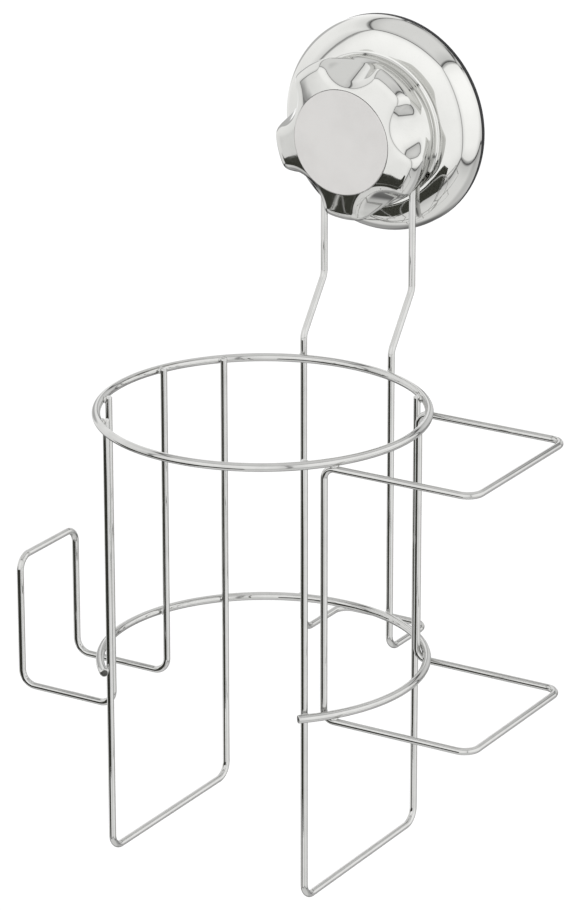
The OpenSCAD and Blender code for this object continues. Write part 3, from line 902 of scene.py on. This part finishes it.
def weld_tree():
    """Geometry nodes: a flattened bead on each point, turned to lie between its two wires."""
    tree, inside, wires, given = started(
        "weld_beads", (("Bead Size", "Vector"), ("Round Steps", "Int"), ("High Steps", "Int"))
    )
    bead = inside.new("GeometryNodeMeshUVSphere")
    bead.inputs["Radius"].default_value = 1
    wires.new(given.outputs["Round Steps"], bead.inputs["Segments"])
    wires.new(given.outputs["High Steps"], bead.inputs["Rings"])
    soft = inside.new("GeometryNodeSetShadeSmooth")
    wires.new(bead.outputs["Mesh"], soft.inputs["Geometry"])
    turn = inside.new("FunctionNodeAxesToRotation")
    turn.primary_axis = "Z"
    turn.secondary_axis = "X"
    for name, socket in (("facing", "Primary Axis"), ("along", "Secondary Axis")):
        read = inside.new("GeometryNodeInputNamedAttribute")
        read.data_type = "FLOAT_VECTOR"
        read.inputs["Name"].default_value = name
        wires.new(read.outputs["Attribute"], turn.inputs[socket])
    copies = inside.new("GeometryNodeInstanceOnPoints")
    wires.new(given.outputs["Geometry"], copies.inputs["Points"])
    wires.new(soft.outputs["Geometry"], copies.inputs["Instance"])
    wires.new(turn.outputs["Rotation"], copies.inputs["Rotation"])
    wires.new(given.outputs["Bead Size"], copies.inputs["Scale"])
    ended(inside, wires, given, copies.outputs["Instances"])
    return tree


uprights = [(sx * LEG_X, sy * LEG_Y, INSIDE_WELD_R) for sx in (-1, 1) for sy in (-1, 1)]
uprights += [(HOOK_X, side * HOOK_Y, INSIDE_WELD_R) for side in (-1, 1)]
hanger_reach = math.sqrt(HANGER_WELD_R ** 2 - HANGER_X ** 2)
uprights += [(side * HANGER_X, hanger_reach, HANGER_WELD_R) for side in (-1, 1)]
weld_places = []
for z in (TOP_Z, LOW_Z):
    for x, y, weld_r in uprights:
        out_x, out_y = np.array((x, y)) / math.hypot(x, y)
        at = (out_x * weld_r, RING_Y + out_y * weld_r, z)
        weld_places.append((at, (out_x, out_y, 0), (-out_y, out_x, 0)))
    for side in (-1, 1):
        out_x, out_y = np.array((LOOP_CROSS_X, side * LOOP_Y)) / RING_R
        at = (LOOP_CROSS_X, RING_Y + side * LOOP_Y, z - RING_WIRE_D / 2)
        weld_places.append((at, (0, 0, -1), (-out_y, out_x, 0)))
weld_mesh = bpy.data.meshes.new("weld_points")
weld_mesh.from_pydata([tuple(v * MM for v in weld[0]) for weld in weld_places], [], [])
for name, which in (("facing", 1), ("along", 2)):
    held_way = weld_mesh.attributes.new(name, "FLOAT_VECTOR", "POINT")
    held_way.data.foreach_set("vector", [float(v) for weld in weld_places for v in weld[which]])
welds = grown(
    "weld_beads", weld_mesh, weld_tree(),
    {"Bead Size": tuple(v * MM for v in WELD_SIZE), "Round Steps": WELD_ROUND,
     "High Steps": WELD_HIGH, "Material": wire_chrome},
)
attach(welds, "wire_cage")

# Camera: stands in front of the wall, to the right and a little above, far enough off to flatten
# the view. Its lens is shifted so that the whole holder fits an upright frame.
CAMERA_TURN = 31.063
CAMERA_TILT = 20.229
CAMERA_DISTANCE = 1615.4
CAMERA_AIM = (0.0, -60.0, -120.0)
FRAME_HIGH = 910
FOCAL_PIXELS = 4503.5
SENSOR_MM = 36.0
MIDDLE_OFFSET = (18.1, 27.3)
FARTHEST_SEEN = 100
turn, tilt = math.radians(CAMERA_TURN), math.radians(CAMERA_TILT)
lens = bpy.data.cameras.new("view_camera")
lens.sensor_width = SENSOR_MM
lens.lens = FOCAL_PIXELS / FRAME_HIGH * SENSOR_MM
lens.shift_x = -MIDDLE_OFFSET[0] / FRAME_HIGH
lens.shift_y = MIDDLE_OFFSET[1] / FRAME_HIGH
lens.clip_end = FARTHEST_SEEN
camera = bpy.data.objects.new("view_camera", lens)
bpy.context.scene.collection.objects.link(camera)
towards = (math.sin(turn) * math.cos(tilt), -math.cos(turn) * math.cos(tilt), math.sin(tilt))
camera.location = [(a + CAMERA_DISTANCE * t) * MM for a, t in zip(CAMERA_AIM, towards)]
camera.rotation_euler = (math.pi / 2 - tilt, 0, turn)
bpy.context.scene.camera = camera
bpy.context.scene.view_settings.view_transform = "Standard"

# Studio: a pale floor well below the holder, which hangs clear of it as it would on a wall.
# A light tent of white cloth stands square round it. Chrome shows the seams of its walls, three dim
# openings in them, and a dark slot under its front wall that only mirror surfaces see.
FLOOR_Z = -0.6
FLOOR_HALF = 6.0
FLOOR_TONE = 0.50
FLOOR_ROUGHNESS = 0.9
FLOOR_LIFT = 0.50
SLOT_TONE = (0.070, 0.072, 0.060)
SLOT_DISTANCE = 0.37
SLOT_EDGES = (
    (-94, -21.5, -38),
    (-84, -21.5, -40),
    (-68, -26, -50),
    (-58, -25, -54),
    (-47, -25, -49),
    (-38, -25, -42),
    (-27, -25, -43),
    (-16, -29, -43),
)
WALLS = (
    ((-1, 0, 0), 1.07, 1.24),
    ((1, 0, 0), 1.16, 1.46),
    ((0, -1, 0), 1.00, 1.40),
    ((0, 1, 0), 2.60, 1.00),
    ((0, 0, 1), 1.50, 1.00),
    ((0, 0, -1), 0.82, 1.12),
)
WALL_EDGE = 0.9999
SEAM_FROM = 0.89
SEAM_TO = 0.98
SEAM_DARK = -0.65
CORNER_FROM = 0.50
CORNER_DARK = -0.24
OPENINGS = (
    (-157, 5, 0.955, 0.985, -0.60),
    (-167, -46, 0.80, 0.94, -0.55),
    (140, -35, 0.70, 0.92, -0.30),
)
LOW_AND_HIGH = (-0.45, 0.45)
LOW_AND_HIGH_CHANGE = (-0.10, 0.04)
LEAST_LIGHT = 0.03
view_right = (math.cos(turn), math.sin(turn), 0.0)
view_away = (-math.sin(turn), math.cos(turn), 0.0)


def sheet(name, corners, faces):
    """A stage sheet with the given corners, in metres."""
    mesh = bpy.data.meshes.new(name)
    mesh.from_pydata(corners, [], faces)
    made = bpy.data.objects.new(name, mesh)
    bpy.context.scene.collection.objects.link(made)
    return made


def bearing_way(bearing, height):
    """Direction at a bearing right of the camera and a height above the horizon, in degrees."""
    flat = math.cos(math.radians(height))
    aside = math.sin(math.radians(bearing)) * flat
    ahead = math.cos(math.radians(bearing)) * flat
    way = [aside * r - ahead * a for r, a in zip(view_right, view_away)]
    return np.array((way[0], way[1], math.sin(math.radians(height))))


floor = sheet(
    "pale_floor",
    [(x * FLOOR_HALF, y * FLOOR_HALF, FLOOR_Z) for x, y in ((-1, -1), (1, -1), (1, 1), (-1, 1))],
    [(0, 1, 2, 3)],
)
floor_paint, nodes, links, shader = finish("pale_floor")
shader.inputs["Base Color"].default_value = (FLOOR_TONE, FLOOR_TONE, FLOOR_TONE, 1)
shader.inputs["Roughness"].default_value = FLOOR_ROUGHNESS
shader.inputs["Specular IOR Level"].default_value = 0
rays = nodes.new("ShaderNodeLightPath")
lift = nodes.new("ShaderNodeMath")
lift.operation = "MULTIPLY"
lift.inputs[1].default_value = FLOOR_LIFT
links.new(rays.outputs["Is Camera Ray"], lift.inputs[0])
white = nodes.new("ShaderNodeEmission")
links.new(lift.outputs["Value"], white.inputs["Strength"])
lifted = nodes.new("ShaderNodeAddShader")
links.new(shader.outputs["BSDF"], lifted.inputs[0])
links.new(white.outputs["Emission"], lifted.inputs[1])
links.new(lifted.outputs["Shader"], nodes["Material Output"].inputs["Surface"])
floor.data.materials.append(floor_paint)
floor.visible_glossy = False

card_black, nodes, links, shader = finish("card_black")
shader.inputs["Base Color"].default_value = SLOT_TONE + (1,)
shader.inputs["Roughness"].default_value = 1
shader.inputs["Specular IOR Level"].default_value = 0
slot_columns = [
    [
        tuple(bearing_way(bearing, 0)[:2] * SLOT_DISTANCE)
        + (math.tan(math.radians(height)) * SLOT_DISTANCE,)
        for height in heights
    ]
    for bearing, *heights in SLOT_EDGES
]
slot = sheet(
    "tent_slot", [corner for column in slot_columns for corner in column],
    [(2 * i, 2 * i + 1, 2 * i + 3, 2 * i + 2) for i in range(len(SLOT_EDGES) - 1)],
)
slot.data.materials.append(card_black)
slot.visible_camera = False
slot.visible_diffuse = False
slot.visible_shadow = False

tent = bpy.data.worlds.new("light_tent")
tent.use_nodes = True
bpy.context.scene.world = tent
nodes, links = tent.node_tree.nodes, tent.node_tree.links
look = nodes.new("ShaderNodeTexCoord")


def facing(way):
    """How much a direction of the tent faces a given way."""
    node = nodes.new("ShaderNodeVectorMath")
    node.operation = "DOT_PRODUCT"
    node.inputs[1].default_value = tuple(way)
    links.new(look.outputs["Generated"], node.inputs[0])
    return node.outputs["Value"]


def ranged(value, low, high, to_low, to_high):
    """A value eased from one range to another."""
    node = nodes.new("ShaderNodeMapRange")
    node.interpolation_type = "SMOOTHSTEP"
    node.inputs["From Min"].default_value = low
    node.inputs["From Max"].default_value = high
    node.inputs["To Min"].default_value = to_low
    node.inputs["To Max"].default_value = to_high
    links.new(value, node.inputs["Value"])
    return node.outputs["Result"]


def combined(a, b, operation):
    """Two values joined by one sum."""
    node = nodes.new("ShaderNodeMath")
    node.operation = operation
    for socket, value in zip(node.inputs, (a, b)):
        if isinstance(value, (int, float)):
            socket.default_value = value
        else:
            links.new(value, socket)
    return node.outputs["Value"]


nearness = [facing(np.array(way) / distance) for way, distance, _ in WALLS]
pairs = [combined(nearness[i], nearness[i + 1], "MAXIMUM") for i in (0, 2, 4)]
nearest = combined(combined(pairs[0], pairs[1], "MAXIMUM"), pairs[2], "MAXIMUM")
farthest = combined(combined(pairs[0], pairs[1], "MINIMUM"), pairs[2], "MINIMUM")
all_three = combined(combined(pairs[0], pairs[1], "ADD"), pairs[2], "ADD")
second = combined(combined(all_three, farthest, "SUBTRACT"), nearest, "SUBTRACT")
corner = combined(second, nearest, "DIVIDE")
seam = ranged(corner, SEAM_FROM, SEAM_TO, 0.0, SEAM_DARK)
tent_light = combined(seam, ranged(corner, CORNER_FROM, 1.0, 0.0, CORNER_DARK), "ADD")
for bearing, height, outer, inner, change in OPENINGS:
    opening = ranged(facing(bearing_way(bearing, height)), outer, inner, 0.0, change)
    tent_light = combined(tent_light, opening, "ADD")
shade = ranged(facing((0, 0, 1)), *LOW_AND_HIGH, *LOW_AND_HIGH_CHANGE)
tent_light = combined(tent_light, shade, "ADD")
just_under = combined(nearest, WALL_EDGE, "MULTIPLY")
for near, (_, _, level) in zip(nearness, WALLS):
    shown = combined(combined(near, just_under, "GREATER_THAN"), level, "MULTIPLY")
    tent_light = combined(tent_light, shown, "ADD")
tent_light = combined(tent_light, LEAST_LIGHT, "MAXIMUM")
rays = nodes.new("ShaderNodeLightPath")
tent_shown = combined(
    combined(tent_light, combined(1, rays.outputs["Is Camera Ray"], "SUBTRACT"), "MULTIPLY"),
    rays.outputs["Is Camera Ray"], "ADD",
)
links.new(tent_shown, nodes["Background"].inputs["Strength"])
nodes["Background"].inputs["Color"].default_value = (1, 1, 1, 1)
